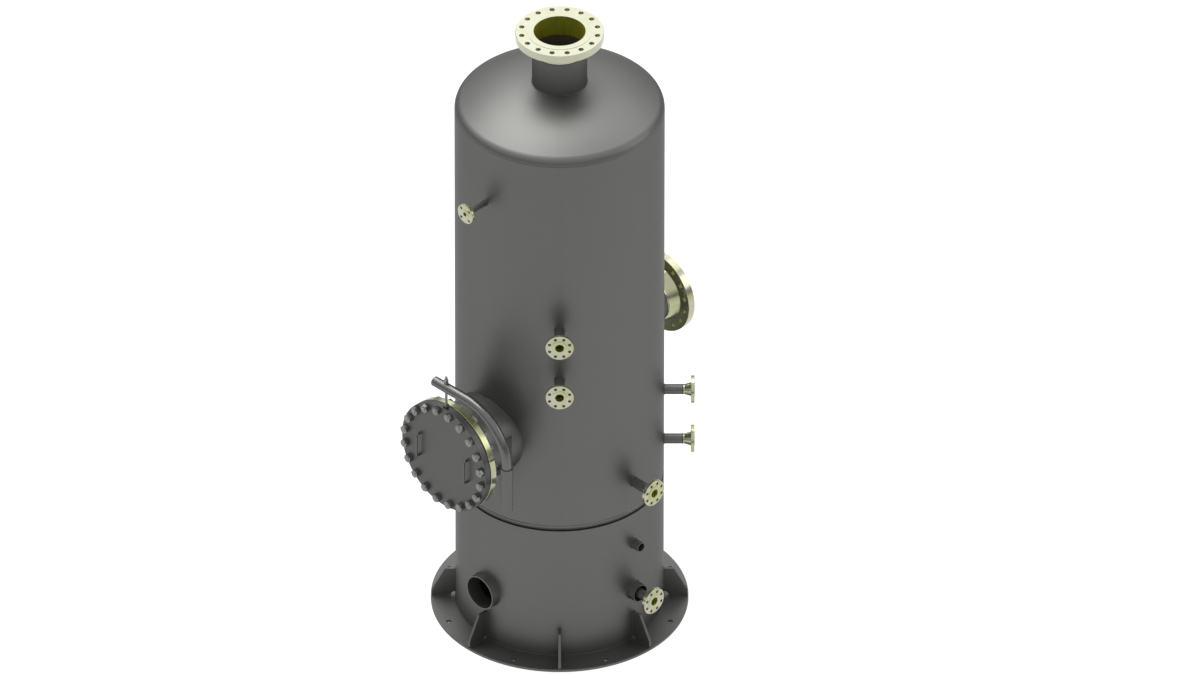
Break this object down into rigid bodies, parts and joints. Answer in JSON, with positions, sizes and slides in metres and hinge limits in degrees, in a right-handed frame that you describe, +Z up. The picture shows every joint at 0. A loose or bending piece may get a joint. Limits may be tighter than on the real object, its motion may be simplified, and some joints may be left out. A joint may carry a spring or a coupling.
{
  "type": "gas scrubber vessel",
  "caption": "Upright gas scrubber vessel on a skirt: dished heads, flanged gas inlet and outlet, bolted manway with davit, instrument nozzles, drain and mist pad.",
  "frame": {"origin": "centre of the base ring's underside, on the vessel's axis", "axes": "+Z up the vessel's axis, +X towards the drain, +Y towards the gas inlet, -Y towards the manway"},
  "size_m": [1.5538, 1.8689, 4.072],
  "materials": {
    "vessel_paint": "matte dark grey paint",
    "cover_paint": "matte dark grey paint",
    "flange_zinc": "pale yellow passivated zinc, satin",
    "bolting": "plated steel, satin",
    "gasket": "flat sheet gasket",
    "inner_steel": "bare stainless steel",
    "wire_mesh": "knitted wire"
  },
  "bodies": {
    "root": {"access_sleeve": "vessel_paint", "base_ring": "vessel_paint", "bottom_head": "vessel_paint", "cover_handle_left": "vessel_paint", "cover_handle_right": "vessel_paint", "cover_lift_rod": "bolting", "cover_lug_pin": "bolting", "cover_lugs": "vessel_paint", "davit_arm": "vessel_paint", "davit_bracket_lower": "vessel_paint", "davit_bracket_upper": "vessel_paint", "davit_end_cap": "vessel_paint", "davit_sleeve": "vessel_paint", "drain_flange": "flange_zinc", "drain_line": "vessel_paint", "drain_sleeve": "vessel_paint", "front_lower_flange": "flange_zinc", "front_lower_neck": "vessel_paint", "front_upper_flange": "flange_zinc", "front_upper_neck": "vessel_paint", "gusset_1": "vessel_paint", "gusset_2": "vessel_paint", "gusset_3": "vessel_paint", "gusset_4": "vessel_paint", "gusset_5": "vessel_paint", "gusset_6": "vessel_paint", "gusset_7": "vessel_paint", "gusset_8": "vessel_paint", "inlet_baffle": "inner_steel", "inlet_flange": "flange_zinc", "inlet_neck": "vessel_paint", "lift_rod_nuts": "bolting", "lift_rod_washer": "bolting", "low_side_flange": "flange_zinc", "low_side_neck": "vessel_paint", "manway_cover": "cover_paint", "manway_flange": "flange_zinc", "manway_gasket": "gasket", "manway_neck": "vessel_paint", "manway_nuts": "bolting", "manway_studs": "bolting", "mist_pad": "wire_mesh", "outlet_flange": "flange_zinc", "outlet_neck": "vessel_paint", "pad_lower_grid": "inner_steel", "pad_support_ring": "inner_steel", "pad_upper_grid": "inner_steel", "pressure_tap_flange": "flange_zinc", "pressure_tap_neck": "vessel_paint", "right_lower_flange": "flange_zinc", "right_lower_neck": "vessel_paint", "right_upper_flange": "flange_zinc", "right_upper_neck": "vessel_paint", "shell_lower_course": "vessel_paint", "shell_upper_course": "vessel_paint", "skirt": "vessel_paint", "skirt_vent": "vessel_paint", "top_head": "vessel_paint", "vortex_breaker": "inner_steel"}
  },
  "joints": []
}
